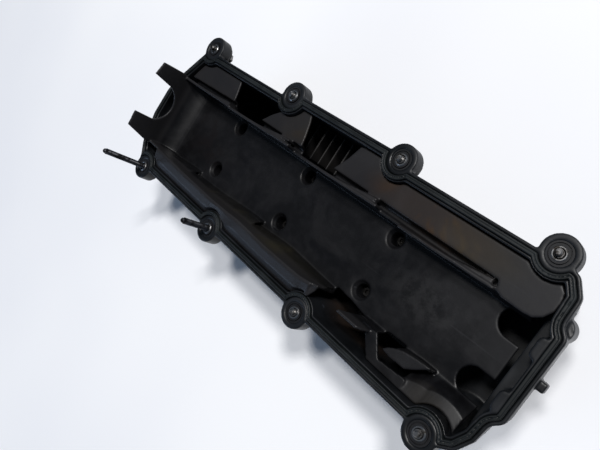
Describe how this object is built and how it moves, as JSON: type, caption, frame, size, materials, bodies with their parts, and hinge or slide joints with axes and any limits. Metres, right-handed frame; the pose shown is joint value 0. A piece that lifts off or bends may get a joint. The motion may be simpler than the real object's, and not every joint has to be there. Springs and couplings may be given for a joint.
{
  "type": "valve cover",
  "caption": "Moulded plastic engine valve cover with rim gasket, inner oil baffle over the camshaft, and captive flange bolts in rubber-mounted steel sleeves.",
  "frame": {"origin": "under the middle of the cover's bounding box, on the plane the dome rests on", "axes": "+X along the length towards the squared end, +Y towards the stepped long side, +Z out of the gasket face (the cover lies on its dome)"},
  "size_m": [0.462, 0.1704, 0.1275],
  "materials": {
    "cover_plastic": "satin moulded, oily",
    "baffle_plastic": "satin moulded, oil stained",
    "gasket_rubber": "dull",
    "grommet_rubber": "dull",
    "sleeve_steel": "plated, worn",
    "bolt_steel": "plated, oily",
    "screw_steel": "plated"
  },
  "bodies": {
    "cover": {"cover_shell": "cover_plastic", "oil_baffle": "baffle_plastic", "rim_gasket": "gasket_rubber", "baffle_screw_1": "screw_steel", "baffle_screw_2": "screw_steel", "baffle_screw_3": "screw_steel", "baffle_screw_4": "screw_steel", "baffle_screw_5": "screw_steel", "baffle_screw_6": "screw_steel", "grommet_u1": "grommet_rubber", "grommet_u2": "grommet_rubber", "grommet_u3": "grommet_rubber", "grommet_u4": "grommet_rubber", "grommet_l1": "grommet_rubber", "grommet_l2": "grommet_rubber", "grommet_l3": "grommet_rubber", "grommet_l4": "grommet_rubber", "sleeve_u1": "sleeve_steel", "sleeve_u2": "sleeve_steel", "sleeve_u3": "sleeve_steel", "sleeve_u4": "sleeve_steel", "sleeve_l1": "sleeve_steel", "sleeve_l2": "sleeve_steel", "sleeve_l3": "sleeve_steel", "sleeve_l4": "sleeve_steel"},
    "bolt_u1": {"bolt_u1": "bolt_steel"},
    "bolt_u2": {"bolt_u2": "bolt_steel"},
    "bolt_u3": {"bolt_u3": "bolt_steel"},
    "bolt_u4": {"bolt_u4": "bolt_steel"},
    "bolt_l1": {"bolt_l1": "bolt_steel"},
    "bolt_l2": {"bolt_l2": "bolt_steel"},
    "bolt_l3": {"bolt_l3": "bolt_steel"},
    "bolt_l4": {"bolt_l4": "bolt_steel"}
  },
  "joints": [
    {"name": "bolt_u1_slide", "type": "slide", "parent": "cover", "child": "bolt_u1", "axis": [0, 0, 1], "range_m": [-0.0045, 0.0015]},
    {"name": "bolt_u2_slide", "type": "slide", "parent": "cover", "child": "bolt_u2", "axis": [0, 0, 1], "range_m": [-0.0045, 0.0015]},
    {"name": "bolt_u3_slide", "type": "slide", "parent": "cover", "child": "bolt_u3", "axis": [0, 0, 1], "range_m": [-0.0045, 0.0015]},
    {"name": "bolt_u4_slide", "type": "slide", "parent": "cover", "child": "bolt_u4", "axis": [0, 0, 1], "range_m": [-0.0045, 0.0015]},
    {"name": "bolt_l1_slide", "type": "slide", "parent": "cover", "child": "bolt_l1", "axis": [0, 0, 1], "range_m": [-0.049, 0.0015]},
    {"name": "bolt_l2_slide", "type": "slide", "parent": "cover", "child": "bolt_l2", "axis": [0, 0, 1], "range_m": [-0.0315, 0.019]},
    {"name": "bolt_l3_slide", "type": "slide", "parent": "cover", "child": "bolt_l3", "axis": [0, 0, 1], "range_m": [-0.0045, 0.0015]},
    {"name": "bolt_l4_slide", "type": "slide", "parent": "cover", "child": "bolt_l4", "axis": [0, 0, 1], "range_m": [-0.0045, 0.0015]}
  ]
}
